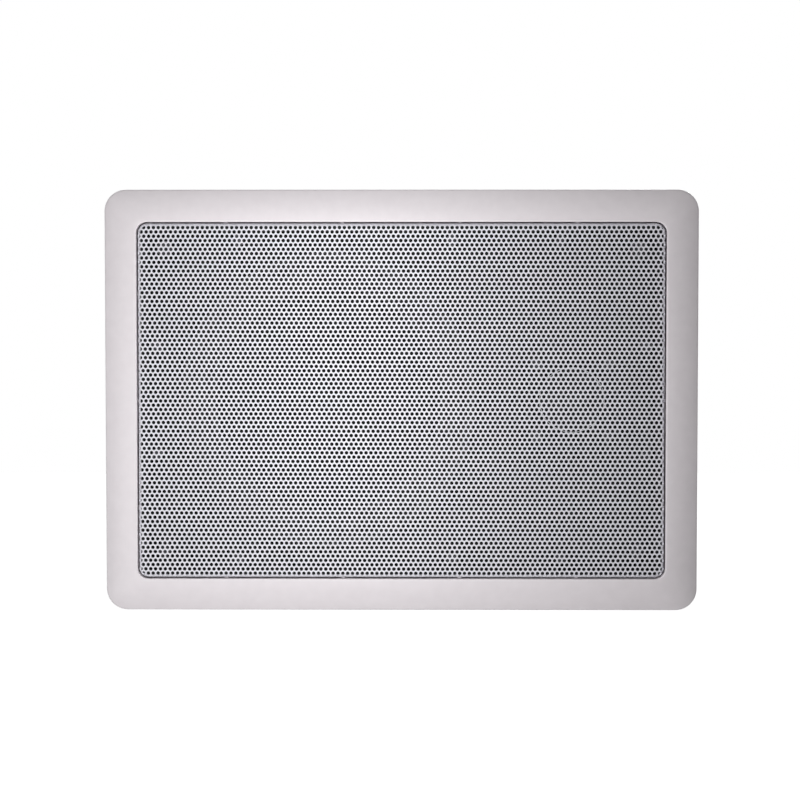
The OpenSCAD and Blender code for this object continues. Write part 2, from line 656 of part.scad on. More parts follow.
// Line transformer: a stack of sheets with a winding on its middle leg, held
// down by a strap that goes over it
bracket_t = 1.2;
leg_w = core_w / 3;
window_w = core_w / 6;
window_h = core_w / 2;
core_h = core_w * 5 / 6;
winding_out_t = 6;
winding_play = 0.4;
core_low = baffle_back - core_h;
window_low_z = core_low + (core_h - window_h) / 2;
module at_core() translate([core_at[0], core_at[1], 0]) children();
module transformer_core() color([0.35, 0.34, 0.33]) facing() at_core() difference() {
  translate([-core_w / 2, -stack_t / 2, core_low]) cube([core_w, stack_t, core_h]);
  for (s = [-1, 1]) translate([s * (leg_w + window_w) / 2 - window_w / 2, -stack_t, window_low_z])
    cube([window_w, 2 * stack_t, window_h]);
}
module transformer_winding() color([0.62, 0.42, 0.12]) facing() at_core() difference() {
  half = leg_w / 2 + window_w - 0.3;
  depth = stack_t / 2 + winding_out_t;
  translate([-half, -depth, window_low_z + winding_play])
    cube([2 * half, 2 * depth, window_h - 2 * winding_play]);
  translate([-leg_w / 2, -stack_t / 2, core_low]) cube([leg_w, stack_t, core_h]);
}
module transformer_bracket() color([0.7, 0.7, 0.72]) facing() at_core() difference() {
  strap_w = stack_t - 2;
  union() {
    translate([-core_w / 2 - bracket_t, -strap_w / 2, core_low - bracket_t])
      cube([core_w + 2 * bracket_t, strap_w, core_h + bracket_t]);
    translate([-core_w / 2 - 11, -strap_w / 2, baffle_back - bracket_t])
      cube([core_w + 22, strap_w, bracket_t]);
  }
  translate([-core_w / 2, -stack_t, core_low]) cube([core_w, 2 * stack_t, core_h + over]);
  for (s = [-1, 1]) translate([s * bracket_hole, 0, baffle_back - 2 * bracket_t])
    cylinder(h = 3 * bracket_t, d = screw_d + screw_play);
}
module transformer_screws() color([0.6, 0.6, 0.62]) facing() at_core()
  for (s = [-1, 1]) translate([s * bracket_hole, 0, baffle_back - bracket_t])
    mirror([0, 0, 1]) pan_screw(screw_d, screw_d * 0.8, 5.6);

// Terminal block: a way for each conductor, a screw on each side of it
block_screw = block_l / 2 + 3.5;
block_h = 13;
way_w = 5.2;
way_deep = 3.4;
way_screw = 3;
way_screw_r = 1.5;
module at_block() translate([block_at[0], block_at[1], baffle_back - block_h]) children();
function way_y(k) = (k - (ways - 1) / 2) * way_pitch;
module terminal_block() color([0.9, 0.89, 0.85]) facing() at_block() difference() {
  union() {
    translate([-block_w / 2, -block_l / 2, 0]) cube([block_w, block_l, block_h]);
    translate([-3.6, -block_l / 2 - 7, block_h - 3]) cube([7.2, block_l + 14, 3]);
  }
  for (k = [0 : ways - 1]) translate([0, way_y(k), 0]) {
    translate([-block_w, -way_w / 2, way_deep]) cube([2 * block_w, way_w, way_w]);
    for (s = [-1, 1]) translate([s * way_screw, 0, -over]) cylinder(h = way_deep + over + eps, r = 2.1);
  }
  for (s = [-1, 1]) translate([0, s * block_screw, -over])
    cylinder(h = block_h + 2 * over, d = screw_d + screw_play);
}
module terminal_clamps() color([0.8, 0.68, 0.35]) facing() at_block()
  for (k = [0 : ways - 1]) translate([0, way_y(k), way_deep]) difference() {
    translate([-block_w / 2 + 0.6, -way_w / 2, 0]) cube([block_w - 1.2, way_w, way_w]);
    translate([-block_w, 0, way_w / 2 + 0.2]) rotate([0, 90, 0]) cylinder(h = 2 * block_w, r = way_screw_r);
    for (s = [-1, 1]) translate([s * way_screw, 0, -over]) cylinder(h = 3, r = way_screw_r);
  }
module terminal_screws() color([0.62, 0.62, 0.64]) facing() {
  at_block() for (k = [0 : ways - 1], s = [-1, 1]) translate([s * way_screw, way_y(k), 1])
    cylinder(h = way_deep + 0.2, r = way_screw_r);
  for (s = [-1, 1]) translate([block_at[0], block_at[1] + s * block_screw, baffle_back - 3])
    mirror([0, 0, 1]) pan_screw(screw_d, screw_d * 0.8, 5.2);
}

// Covered wires. Each follows a curve from a to d that leaves towards b and
// arrives from c; the ring of sides is carried along it without twisting. Both
// ends stand square on what they are fixed to.
wire_steps = 16;
wire_sides = 8;
function curve(a, b, c, d) = [for (i = [0 : wire_steps]) let (t = i / wire_steps, u = 1 - t)
  u * u * u * a + 3 * u * u * t * b + 3 * u * t * t * c + t * t * t * d];
function headings(a, b, c, d) = [for (i = [0 : wire_steps]) let (t = i / wire_steps, u = 1 - t)
  unit(u * u * (b - a) + 2 * u * t * (c - b) + t * t * (d - c))];
function square_to(v, t) = unit(v - (v * t) * t);
function sides_of(h, i, v) = i == len(h) ? [] :
  let (w = square_to(v, h[i])) concat([w], sides_of(h, i + 1, w));
module wire(a, b, c, d) {
  p = curve(a, b, c, d);
  h = headings(a, b, c, d);
  v = sides_of(h, 0, [0.3, 0.5, 0.4]);
  n = wire_sides;
  rings = [for (i = [0 : wire_steps], k = [0 : n - 1])
    p[i] + wire_r * (cos(k * 360 / n) * v[i] + sin(k * 360 / n) * cross(h[i], v[i]))];
  polyhedron(rings, concat(
    [[for (k = [0 : n - 1]) k]],
    [[for (k = [n - 1 : -1 : 0]) wire_steps * n + k]],
    [for (i = [0 : wire_steps - 1], k = [0 : n - 1]) let (l = (k + 1) % n)
      [i * n + k, (i + 1) * n + k, i * n + l]],
    [for (i = [0 : wire_steps - 1], k = [0 : n - 1]) let (l = (k + 1) % n)
      [i * n + l, (i + 1) * n + k, (i + 1) * n + l]]));
}
// From each way of the block to the back of the winding
wire_press = 0.15;
winding_face = core_at[1] - stack_t / 2 - winding_out_t;
way_z = baffle_back - block_h + way_deep + way_w / 2 + 0.2 + way_screw_r - wire_r + wire_press;
module line_leads() color([0.5, 0.12, 0.1]) facing() for (k = [0 : ways - 1]) {
  m = ways - 1 - k;
  end = [61 + 2.6 * m, winding_face + winding_out_t / 2, window_low_z + winding_play];
  wire([block_at[0] - 3.2, way_y(k), way_z], [38 - m, way_y(k), way_z - 5], end - [0, 0, 9 + m], end);
}
// From the winding to the filter board, behind the tweeter
pad_y = board_at[1] + board_h / 2 - 2.6;
module board_leads() color([0.12, 0.12, 0.13]) facing() for (x = [80, 83.5])
  wire([x, winding_face, -24], [x, winding_face - 20, -24], [x, pad_y, -36], [x, pad_y, board_z]);
// From the board to the two blades of the tag board
tilt = 180 - wall_slope;
function on_tags(x, y, z) = [woofer_x + tag_r + x * cos(tilt) + z * sin(tilt), y,
  flange_z + tag_z - x * sin(tilt) + z * cos(tilt)];
module woofer_leads() color([0.12, 0.12, 0.13]) facing() for (s = [-1, 1])
  wire([board_at[0] - board_w / 2 + 2.4, board_at[1] + 3 * s, board_z],
    [board_at[0] - board_w / 2 + 2.4, board_at[1] + 3 * s, board_z - 16],
    on_tags(-14, s * 5, 7.3), on_tags(-4, s * 5, 7.3));
// From the board through the baffle's notch to the back of the tweeter's plate
notch_y = -motor_r - 1.9;
module tweeter_leads() color([0.12, 0.12, 0.13]) facing() for (s = [-1, 1])
  wire([92 + 2 * s, pad_y, board_z], [92 + 2 * s, pad_y, board_z - 10],
    [tweeter_x + 1.5 * s, notch_y, -24], [tweeter_x + 1.5 * s, notch_y, -baffle_z]);

module clamp_screw(k) color([0.75, 0.75, 0.77]) facing() at_clamp(corners[k]) {
  seat = -baffle_z + 1.2 - eps;
  translate([0, 0, seat]) difference() {
    cylinder(h = head_h, r1 = head_r, r2 = head_r - 0.6);
    for (a = [0, 90]) rotate([0, 0, a]) translate([-2.4, -0.5, head_h - 1.6]) cube([4.8, 1, 2]);
  }
  translate([0, 0, screw_end]) cylinder(h = seat - screw_end + eps, d = clamp_d);
}
// Dog: hub, arm and forward toe, with a web below. At rest it points down the
// wall in its own corner's frame, tucked inside the collar's outline.
module clamp_dog(k) color([0.16, 0.16, 0.17]) facing() at_clamp(corners[k])
  translate([0, 0, dog_z]) difference() {
  union() {
    translate([0, 0, -hub_h]) cylinder(h = hub_h, d = dog_w);
    translate([-dog_w / 2, -dog_reach + 2, -arm_t]) cube([dog_w, dog_reach - 2, arm_t]);
    translate([-dog_w / 2 + 2, -dog_reach, -arm_t]) cube([dog_w - 4, dog_reach, arm_t]);
    for (s = [-1, 1]) translate([s * (dog_w / 2 - 2), -dog_reach + 2, -arm_t]) cylinder(h = arm_t, r = 2);
    translate([-dog_w / 2, -dog_reach + 2, -eps]) cube([dog_w, toe_l - 2, toe_h + eps]);
    translate([-dog_w / 2 + 2, -dog_reach, -eps]) cube([dog_w - 4, toe_l, toe_h + eps]);
    for (s = [-1, 1]) translate([s * (dog_w / 2 - 2), -dog_reach + 2, -eps])
      cylinder(h = toe_h + eps, r = 2);
    // Web from the hub's back to the toe
    translate([1.2, 0, 0]) rotate([0, -90, 0]) linear_extrude(2.4) polygon([
      [-hub_h + 1, 0], [-hub_h + 1, -dog_w / 2 - 1], [-arm_t, -dog_reach + 4], [-arm_t, 0]]);
  }
  translate([0, 0, -hub_h - over]) cylinder(h = hub_h + 2 * over, r = clamp_d / 2 + clamp_play);
}

bezel_frame();
grille();
baffle();
baffle_screws();
woofer_basket();
woofer_gasket();
woofer_surround();
woofer_cone();
woofer_dust_cap();
woofer_spider();
voice_coil_former();
voice_coil_winding();
woofer_top_plate();
woofer_magnet();
woofer_pole_plate();
woofer_tag_board();
woofer_tags();
woofer_screws();
tweeter_faceplate();
tweeter_dome();
tweeter_coil();
tweeter_top_plate();
tweeter_magnet();
tweeter_pole_plate();
tweeter_screws();
crossover_board();
crossover_capacitor();
crossover_coil();
crossover_resistor();
crossover_screws();
transformer_core();
transformer_winding();
transformer_bracket();
transformer_screws();
terminal_block();
terminal_clamps();
terminal_screws();
line_leads();
board_leads();
woofer_leads();
tweeter_leads();
clamp_screw(0);  // clamp_screw_1
clamp_screw(1);  // clamp_screw_2
clamp_screw(2);  // clamp_screw_3
clamp_screw(3);  // clamp_screw_4
clamp_dog(0);  // clamp_dog_1
clamp_dog(1);  // clamp_dog_2
clamp_dog(2);  // clamp_dog_3
clamp_dog(3);  // clamp_dog_4
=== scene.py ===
# %% [markdown]
# # A flush wall speaker, dressed for its picture
#
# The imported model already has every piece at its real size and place. This
# script gives each piece its finish, and works out again, at a finer step, the
# few forms that the eye rests on: the convex frame, the perforated grille with
# its bent edge, and the two soft rings that hold the cone. Lengths in the cells
# are millimetres until the last moment, because the real object was drawn in
# millimetres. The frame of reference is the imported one: X runs to the right, Z
# up the wall, and -Y out into the room, with Y = 0 on the wall's surface.

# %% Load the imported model
import json

import bpy
import numpy as np
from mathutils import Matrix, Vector


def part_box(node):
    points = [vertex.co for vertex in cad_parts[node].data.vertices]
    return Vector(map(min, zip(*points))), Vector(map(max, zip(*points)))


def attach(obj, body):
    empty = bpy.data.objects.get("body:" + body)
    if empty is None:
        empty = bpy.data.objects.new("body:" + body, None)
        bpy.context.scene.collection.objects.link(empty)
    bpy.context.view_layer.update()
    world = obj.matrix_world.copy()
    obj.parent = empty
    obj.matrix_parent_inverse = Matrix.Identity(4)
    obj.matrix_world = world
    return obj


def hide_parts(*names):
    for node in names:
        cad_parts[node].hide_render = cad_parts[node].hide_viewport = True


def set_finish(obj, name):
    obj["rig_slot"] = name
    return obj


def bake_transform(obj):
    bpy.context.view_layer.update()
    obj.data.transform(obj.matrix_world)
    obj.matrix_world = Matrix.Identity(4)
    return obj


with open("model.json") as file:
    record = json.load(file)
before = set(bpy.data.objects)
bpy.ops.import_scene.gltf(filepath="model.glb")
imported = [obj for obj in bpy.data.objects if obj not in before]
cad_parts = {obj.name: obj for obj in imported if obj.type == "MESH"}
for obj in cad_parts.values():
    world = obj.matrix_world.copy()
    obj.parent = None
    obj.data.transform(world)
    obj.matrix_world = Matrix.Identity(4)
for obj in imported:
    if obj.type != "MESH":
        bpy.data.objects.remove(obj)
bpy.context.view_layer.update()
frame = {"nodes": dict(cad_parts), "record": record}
nodes = frame["nodes"]
scene = bpy.context.scene
scene.view_settings.view_transform = "Standard"
MM = 0.001

# %% [markdown]
# ## Camera
#
# The picture was taken almost square on: the frame's outline is a little wider
# at its top than at its bottom, so the lens stood slightly above the middle,
# and its right side is a hair taller than its left, so it stood slightly to the
# right as well. A long lens at arm's length gives that much perspective and no
# more. The focal length follows from one measured width, so it is worked out
# and not guessed.

# %% Camera
PICTURE = 800
FRAME_PX = 592.75
AIM_PX = (-1.3, 0.8)
VIEW_TURN = np.radians(0.6)
VIEW_RISE = np.radians(2.8)
VIEW_FAR = 1.2
SENSOR = 36.0

frame_low, frame_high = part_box("bezel_frame")
frame_wide = frame_high.x - frame_low.x
px_per_m = FRAME_PX / frame_wide


def make_camera():
    """A camera on a ball round the frame's middle: turned VIEW_TURN to the right, raised VIEW_RISE.

    Lens in mm = picture scale at the object times sensor width times distance, over the picture's width.
    """
    lens = bpy.data.cameras.new("camera")
    lens.sensor_width = SENSOR
    lens.lens = px_per_m * SENSOR * VIEW_FAR / PICTURE
    camera = bpy.data.objects.new("camera", lens)
    scene.collection.objects.link(camera)
    out = Vector((np.sin(VIEW_TURN) * np.cos(VIEW_RISE), -np.cos(VIEW_TURN) * np.cos(VIEW_RISE),
                  np.sin(VIEW_RISE)))
    aim = Vector((AIM_PX[0] / px_per_m, frame_low.y / 2, AIM_PX[1] / px_per_m))
    camera.location = aim + VIEW_FAR * out
    camera.rotation_euler = (-out).to_track_quat("-Z", "Y").to_euler()
    scene.camera = camera
    return camera


camera = make_camera()
print("lens in mm:", round(camera.data.lens, 2), "camera at:", [round(v, 3) for v in camera.location])

# %% [markdown]
# ## From arrays to pieces
#
# A surface that follows a rule is best worked out as a whole array of points.
# The loops of such a surface are stacked, each loop is joined to the next by
# four-sided faces, and the result is handed to Blender in one go. A closed
# shell can be checked with one number: the volume that its faces enclose comes
# out negative when they point inwards, and then they are all turned round.

# %% Shells from arrays of points
def skin(loops, round_about=True, ends=False):
    """Joins each loop of an array (loops, points, 3) to the next with four-sided faces.

    round_about joins the last loop to the first again; ends closes the first and last loop with a face.
    Returns (points, list of faces).
    """
    count, size = loops.shape[:2]
    rows = np.arange(count if round_about else count - 1)
    a = (rows[:, None] * size + np.arange(size)).ravel()
    b = (rows[:, None] * size + np.roll(np.arange(size), -1)).ravel()
    c = ((rows[:, None] + 1) % count * size + np.roll(np.arange(size), -1)).ravel()
    d = ((rows[:, None] + 1) % count * size + np.arange(size)).ravel()
    faces = np.stack([a, b, c, d], -1).tolist()
    if ends:
        faces.append(np.arange(size)[::-1].tolist())
        faces.append((np.arange(size) + (count - 1) * size).tolist())
    return outward(loops.reshape(-1, 3), faces)


def outward(points, faces):
    """Turns every face round if the shell's volume, a sixth of the sum of a . (b x c), is negative."""
    first = np.array([f[:3] for f in faces])
    corners = points[first] - points.mean(0)
    volume = np.einsum("ij,ij->i", corners[:, 0], np.cross(corners[:, 1], corners[:, 2])).sum()
    return points, [f[::-1] for f in faces] if volume < 0 else faces


def together(shells):
    """Several shells as one: the faces of each are moved on by the points that came before."""
    points = np.concatenate([p for p, _ in shells])
    starts = np.cumsum([0] + [len(p) for p, _ in shells[:-1]])
    faces = [[i + int(start) for i in f] for start, (_, fs) in zip(starts, shells) for f in fs]
    return points, faces


def make_piece(name, shell, body, slot, stands_for, sharp_deg=35.0):
    """A mesh object from a shell in millimetres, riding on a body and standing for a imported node."""
    points, faces = shell
    mesh = bpy.data.meshes.new(name)
    mesh.from_pydata((points * MM).tolist(), [], faces)
    mesh.validate()
    mesh.polygons.foreach_set("use_smooth", np.ones(len(mesh.polygons), bool))
    mesh.set_sharp_from_angle(angle=np.radians(sharp_deg))
    piece = bpy.data.objects.new(name, mesh)
    scene.collection.objects.link(piece)
    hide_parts(stands_for)
    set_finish(piece, slot)
    if body:
        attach(piece, body)
    print(name, "has", len(mesh.vertices), "points and", len(mesh.polygons), "faces")
    return piece


# %% [markdown]
# Three small tools serve most of what follows: a rectangle with round corners
# as one loop of points, a profile whose corners are eased with short curves,
# and a solid box or bush with eased edges.

# %% Loops, eased profiles, blocks and bushes
CORNER_STEPS = 20


def round_rect(half_w, half_h, radius, steps=CORNER_STEPS):
    """Loop round a rectangle: each corner's centre plus radius times (cos a, sin a), a over 90 degrees.

    half_w, half_h and radius may be arrays of one length n; the result is (n, 4 * (steps + 1), 2).
    """
    half_w, half_h, radius = (np.atleast_1d(v).astype(float)[:, None, None] for v in (half_w, half_h, radius))
    angle = np.radians(np.linspace(0, 90, steps + 1) + 90 * np.arange(4)[:, None])
    side_x = np.array([1, -1, -1, 1])[:, None]
    side_z = np.array([1, 1, -1, -1])[:, None]
    x = side_x * (half_w - radius) + radius * np.cos(angle)
    z = side_z * (half_h - radius) + radius * np.sin(angle)
    return np.stack([x, z], -1).reshape(len(radius), -1, 2)


def eased(points, cut, steps=4):
    """Closed outline with each corner P replaced by the curve (1-t)^2 A + 2t(1-t) P + t^2 B.

    A and B lie on the two edges that meet in P, at most cut from it and never past a third of an edge.
    """
    points = np.asarray(points, float)
    back = np.roll(points, 1, 0) - points
    on = np.roll(points, -1, 0) - points
    cut = np.broadcast_to(cut, len(points))[:, None]
    back_l = np.linalg.norm(back, axis=1, keepdims=True)
    on_l = np.linalg.norm(on, axis=1, keepdims=True)
    a = points + back / back_l * np.minimum(cut, back_l / 3)
    b = points + on / on_l * np.minimum(cut, on_l / 3)
    t = np.linspace(0, 1, steps + 1)[:, None, None]
    curve = (1 - t) ** 2 * a + 2 * t * (1 - t) * points + t ** 2 * b
    return curve.transpose(1, 0, 2).reshape(-1, 2)


def raise_loop(loop, out):
    """A loop in the wall's plane, out millimetres in front of it: (x, z) becomes (x, -out, z)."""
    depth = np.broadcast_to(-np.asarray(out, float), loop.shape[:-1])
    return np.stack([loop[..., 0], depth, loop[..., 1]], -1)


def block(centre, size, low, high, ease=0.4):
    """A box in the wall's plane from low to high, its long edges rounded and both ends eased."""
    half = np.array(size) / 2
    inset = np.array([ease, 0, 0, ease])
    radius = np.array([ease, 2 * ease, 2 * ease, ease])
    loops = round_rect(half[0] - inset, half[1] - inset, radius, 4) + np.array(centre)
    return skin(raise_loop(loops, np.array([low, low + ease, high - ease, high])[:, None]), False, True)


def bush(centre, r_in, r_out, low, high, ease=0.35, steps=40):
    """A ring turned about the axis through centre: an eased rectangle carried round by (r cos a, r sin a)."""
    section = eased([[r_in, low], [r_out, low], [r_out, high], [r_in, high]], ease, 3)
    return turned(section, centre, steps)


def turned(section, centre, steps):
    """Carries a closed section of (radius, height) points round a centre."""
    angle = np.radians(np.arange(steps) * 360 / steps)
    ring = np.stack([np.cos(angle), np.sin(angle)], -1)
    loops = section[:, None, :1] * ring + np.array(centre)
    return skin(raise_loop(loops, section[:, 1:]))


# %% [markdown]
# ## The frame
#
# On the real speaker the frame is one moulding in light grey plastic: a convex
# face that falls from the lip round the grille to a thin edge on the wall, with
# the corners blended softly, a collar behind it that fills the cut-out, and
# ribs in the hollow between the two. A profile carried round the outline gives
# all of it. The outline's corner radius shrinks evenly from the outer edge to
# the lip, which is what makes the corner's highlight a soft band and not a
# sharp mitre.

# %% The frame's measures
LIP_OUT = -frame_low.y / MM
EDGE_OUT = 2.6
FACE_R = 45.0
LAND = 1.2
RAIL = 16.6
SHELL = 2.2
EDGE_R = 11.0
LIP_R = 5.5
LEDGE_BACK = -10.4
LEDGE_T = 2.4
LEDGE_W = 14.0
half_frame = np.array([frame_high.x - frame_low.x, frame_high.z - frame_low.z]) / 2 / MM
half_open = half_frame - RAIL
print("opening in mm:", 2 * half_open)


def face_out(inset):
    """Height of the convex face at a distance from the outer edge: centre height + sqrt(R^2 - (inset - c)^2).

    The circle passes through the edge (0, EDGE_OUT) and the start of the land (RAIL - LAND, LIP_OUT).
    """
    run, rise = RAIL - LAND, LIP_OUT - EDGE_OUT
    chord = np.hypot(run, rise)
    drop = np.sqrt(FACE_R ** 2 - chord ** 2 / 4)
    centre = np.array([run, rise]) / 2 + drop * np.array([rise, -run]) / chord
    arc = EDGE_OUT + centre[1] + np.sqrt(FACE_R ** 2 - (inset - centre[0]) ** 2)
    return np.where(inset < run, arc, LIP_OUT)


# %% Frame shell
def frame_section():
    """Closed profile of (inset, height).

    It runs up the edge, over the face, down the collar and back through the hollow.
    """
    over_face = np.linspace(1.0, RAIL - LAND - 0.6, 14)
    hollow = np.linspace(RAIL - SHELL - 1.0, SHELL + 1.0, 8)
    front = [[0, 0], [0, EDGE_OUT], *zip(over_face, face_out(over_face)),
             [RAIL - LAND, LIP_OUT], [RAIL, LIP_OUT]]
    collar = [[RAIL, LEDGE_BACK + 0.2], [RAIL - SHELL, LEDGE_BACK + 0.2],
              [RAIL - SHELL, face_out(RAIL - SHELL) - SHELL]]
    inside = [*zip(hollow, face_out(hollow) - SHELL), [SHELL, face_out(SHELL) - SHELL], [SHELL, 0]]
    cut = ([0.3, 0.8] + [0.0] * len(over_face) + [0.5, 0.55] + [0.3, 0.5, 0.8]
           + [0.0] * len(hollow) + [0.5, 0.3])
    return eased(front + collar + inside, cut)


def frame_shell():
    """The section carried round: each of its points is a round rectangle, inset and with a smaller radius."""
    section = frame_section()
    inset, out = section[:, 0], section[:, 1]
    radius = EDGE_R + (LIP_R - EDGE_R) * inset / RAIL
    loops = round_rect(half_frame[0] - inset, half_frame[1] - inset, radius)
    return skin(raise_loop(loops, out[:, None]))


shell = frame_shell()
print("frame shell has", len(shell[1]), "faces")

# %% [markdown]
# Behind the face the moulding carries the baffle's ledge. Its inner edge is the
# union of a rectangle, a web in each corner for the clamp, and the woofer's
# circle, and a union is easy to write as the distance from the middle in each
# direction: the largest or smallest of a few simple distances.

# %% Ledge, bosses and stop walls behind the face
CLAMP_IN = 13.5
DOG_W = 11.0
WEB_LONG = 33.5
WEB_SHORT = 23.0
STOP_GAP = 0.4
STOP_T = 2.0
STOP_LOW = -50.0
BOSS_LOW = -16.8
WOOFER_X = -38.0
WOOFER_R = 84.0
SCREW_IN = 9.05
CORNERS = [(-1, 1, 0), (1, 1, -90), (1, -1, 180), (-1, -1, 90)]
baffle_spots = [(x, s * (half_open[1] - SCREW_IN)) for x in (-84, 26, 82) for s in (-1, 1)]
baffle_spots += [(s * (half_open[0] - SCREW_IN), t * 28) for s in (-1, 1) for t in (-1, 1)]
clamp_at = half_open - CLAMP_IN


def ledge(steps=1440):
    """Flat ring: outer edge just inside the collar, inner edge by distance from the middle.

    Inner distance = max(min(rectangle, corner web), woofer circle),
    each as the way to its border along the ray.
    """
    angle = np.radians((np.arange(steps) + 0.5) * 360 / steps)
    c, s = np.abs(np.cos(angle)), np.abs(np.sin(angle))
    tall = np.cos(angle) * np.sin(angle) < 0
    web_x = half_open[0] - np.where(tall, WEB_SHORT, WEB_LONG)
    web_z = half_open[1] - np.where(tall, WEB_LONG, WEB_SHORT)
    box = np.minimum((half_open[0] - LEDGE_W) / c, (half_open[1] - LEDGE_W) / s)
    web = np.maximum(web_x / c, web_z / s)
    across = WOOFER_X * np.cos(angle)
    circle = across + np.sqrt((WOOFER_R + 1) ** 2 - (WOOFER_X * np.sin(angle)) ** 2)
    inner = np.maximum(np.minimum(box, web), circle)
    outer = np.minimum((half_open[0] + SHELL - 0.5) / c, (half_open[1] + SHELL - 0.5) / s)
    ring = np.stack([np.cos(angle), np.sin(angle)], -1)
    reach = np.stack([outer, inner, inner, outer])[..., None] * ring
    top, low = LEDGE_BACK + LEDGE_T, LEDGE_BACK
    return skin(raise_loop(reach, np.array([top, top, low, low])[:, None]))


def corner_turn(point, corner):
    """A point drawn beside a clamp, turned by the corner's angle and moved to the clamp."""
    a = np.radians(corner[2])
    x, z = point
    return (corner[0] * clamp_at[0] + x * np.cos(a) - z * np.sin(a),
            corner[1] * clamp_at[1] + x * np.sin(a) + z * np.cos(a))


def stop_walls(corner):
    """Two walls that meet outside the dog's hub and stop its arm at rest and a quarter turn on."""
    near = DOG_W / 2 + STOP_GAP
    across = ((-CLAMP_IN + near) / 2, near + STOP_T / 2), (CLAMP_IN + near, STOP_T)
    down = (near + STOP_T / 2, (-17 + near + STOP_T) / 2), (STOP_T, 17 + near + STOP_T)
    walls = []
    for centre, size in (across, down):
        size = size if corner[2] in (0, 180) else size[::-1]
        walls.append(block(corner_turn(centre, corner), size, STOP_LOW, LEDGE_BACK + 0.6, 0.3))
    return walls


def rails():
    """Ribs in the hollow behind the face, as thin upright plates that follow the slope of its underside."""
    made = []
    profile = np.array([[SHELL - 0.4, 0], [RAIL - SHELL + 0.4, 0],
                        [RAIL - SHELL + 0.4, 5.2], [SHELL - 0.4, 2.0]])
    for half, other, places in ((half_frame[1], 1, range(-3, 4)), (half_frame[0], 0, range(-2, 3))):
        for place in places:
            for side in (-1, 1):
                across = place * 38.0 + np.array([-0.7, 0.7])[:, None]
                down = side * (half - profile[:, 0])
                pair = (across + 0 * down, down + 0 * across)
                x, z = pair if other else pair[::-1]
                out = profile[:, 1] + 0 * across
                made.append(skin(np.stack([x, -out, z], -1), False, True))
    return made


def frame_back():
    """Ledge, clamp bosses, stop walls, screw bosses, grip ribs and hollow ribs, as closed shells."""
    made = [ledge()]
    for corner in CORNERS:
        made.append(bush(corner_turn((0, 0), corner), 2.08, DOG_W / 2 - 0.6, BOSS_LOW, LEDGE_BACK + LEDGE_T))
        made += stop_walls(corner)
    made += [bush(spot, 1.5, 3.4, LEDGE_BACK - 7, LEDGE_BACK + LEDGE_T) for spot in baffle_spots]
    grip = 1.5
    near = half_open - 0.7 + grip
    made += [bush((x, s * near[1]), 0.2, grip, -5, 2.6) for x in (-90, -30, 30, 90) for s in (-1, 1)]
    made += [bush((s * near[0], z), 0.2, grip, -5, 2.6) for z in (-55, 0, 55) for s in (-1, 1)]
    return made + rails()


frame_piece = make_piece("wall_frame", together([shell] + frame_back()), "speaker",
                         "frame_plastic", "bezel_frame")

# %% [markdown]
# ## The grille
#
# The real grille is perforated sheet steel, cut and drawn into a shallow pan, so
# the staggered holes run on over its bent edge. It could be a picture of holes
# on a plain pan, but then nothing would be open. Here each hole is a small cell
# of geometry with eight corners, the cells are laid out flat as on the sheet,
# and the flat sheet is then bent: what lies past the start of the bend turns
# down round it, and the rest runs straight down into the groove.

# %% The grille's measures
grille_low, grille_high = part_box("grille")
SHEET = 0.8
BEND = 1.6
PAN_DEEP = (grille_high.y - grille_low.y) / MM
# Step between holes in a row and between rows, and the way from a hole's middle to its corners
PITCH_X = 2.5
PITCH_Z = 2.215
HOLE_R = 0.975
# Where the rows start and how they lean, so that the holes fall as in the photo
SHIFT_X = 1.73
LEAN = -0.0086
half_pan = np.array([grille_high.x - grille_low.x, grille_high.z - grille_low.z]) / 2 / MM
half_flat = half_pan - BEND
flat_r = LIP_R - 0.7 - BEND
bend_run = (BEND - SHEET / 2) * np.pi / 2
reach = bend_run + PAN_DEEP - BEND
GRILLE_OUT = -grille_low.y / MM
print("flat part of the pan in mm:", 2 * half_flat, "sheet past it:", round(reach, 2))


# %% Bending the sheet
def bent(flat, depth):
    """Places points of the flat sheet on the pan, depth below its outer face.

    s = distance past the round rectangle where the bend starts, n = the way straight out from it.
    On the bend the angle is s over the bend's run times 90 degrees, and the point is
    n (R - depth) sin(angle) out and R - (R - depth) cos(angle) down; past it, it goes straight down.
    """
    core = half_flat - flat_r
    near = np.clip(flat, -core, core)
    away = flat - near
    length = np.linalg.norm(away, axis=-1, keepdims=True)
    n = away / np.maximum(length, 1e-9)
    s = np.clip(length - flat_r, 0, reach)
    angle = np.minimum(s / bend_run, 1) * np.pi / 2
    radius = BEND - depth
    side = near + n * (np.minimum(length, flat_r) + radius * np.sin(angle))
    down = BEND - radius * np.cos(angle) + np.maximum(s - bend_run, 0)
    return np.concatenate([side[..., :1], down - GRILLE_OUT, side[..., 1:]], -1)


def past(flat):
    """How far past the bend's start a point of the flat sheet lies."""
    core = half_flat - flat_r
    return np.linalg.norm(flat - np.clip(flat, -core, core), axis=-1) - flat_r


# %% [markdown]
# Every cell is one step wide and one row high. Its border has eight points on a
# grid of half steps, so neighbours share them exactly even though the rows are
# staggered, and each point can be named by two whole numbers. Finding the
# shared ones, and finding the sheet's rim as the border edges that only one
# cell uses, are then single calls on whole arrays.

# %% Cells with holes
BORDER = np.array([[1, 0], [1, 1], [0, 1], [-1, 1], [-1, 0], [-1, -1], [0, -1], [1, -1]])
GRID = np.array([PITCH_X / 2, PITCH_Z / 2])


def on_sheet(keys):
    """Whole half steps as millimetres, each row SHIFT_X to the right and leaning by LEAN times its height."""
    place = keys * GRID
    return place + np.stack([SHIFT_X + LEAN * place[..., 1], 0 * place[..., 1]], -1)


